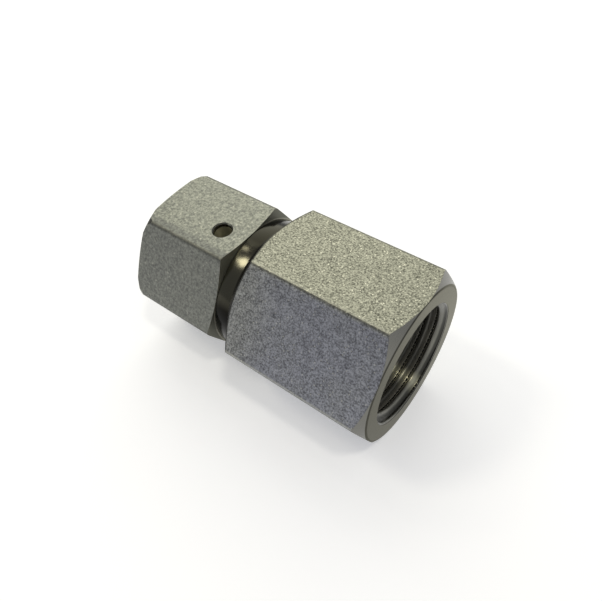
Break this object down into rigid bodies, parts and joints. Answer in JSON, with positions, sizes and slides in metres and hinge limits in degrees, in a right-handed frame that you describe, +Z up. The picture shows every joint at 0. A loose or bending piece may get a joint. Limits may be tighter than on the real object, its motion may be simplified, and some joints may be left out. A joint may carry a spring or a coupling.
{
  "type": "gauge adapter",
  "caption": "Hydraulic gauge adapter: hexagon body with a female gauge port, a cone nose with an O-ring and a free-turning swivel nut held by a retaining wire.",
  "frame": {"origin": "centre of the gauge port's mouth", "axes": "+X along the adapter's axis, out of the gauge port; the swivel nut is towards -X; +Z up, square to the flat of the body's hexagon that faces up, with the adapter lying on the opposite flat"},
  "size_m": [0.0485, 0.031, 0.027],
  "materials": {
    "zinc_plated_steel": "zinc plated, grainy drawn flats and smooth turned faces",
    "zinc_plated_nut": "zinc plated, grainy drawn flats and smooth turned faces",
    "wire_steel": "drawn bright wire",
    "seal_rubber": "matt nitrile rubber"
  },
  "bodies": {
    "adapter": {"adapter_body": "zinc_plated_steel", "retaining_wire": "wire_steel", "cone_o_ring": "seal_rubber"},
    "nut": {"swivel_nut": "zinc_plated_nut"}
  },
  "joints": [
    {"name": "nut_spin", "type": "hinge", "parent": "adapter", "child": "nut", "pos_m": [-0.0351, 0, 0], "axis": [1, 0, 0], "continuous": true}
  ]
}
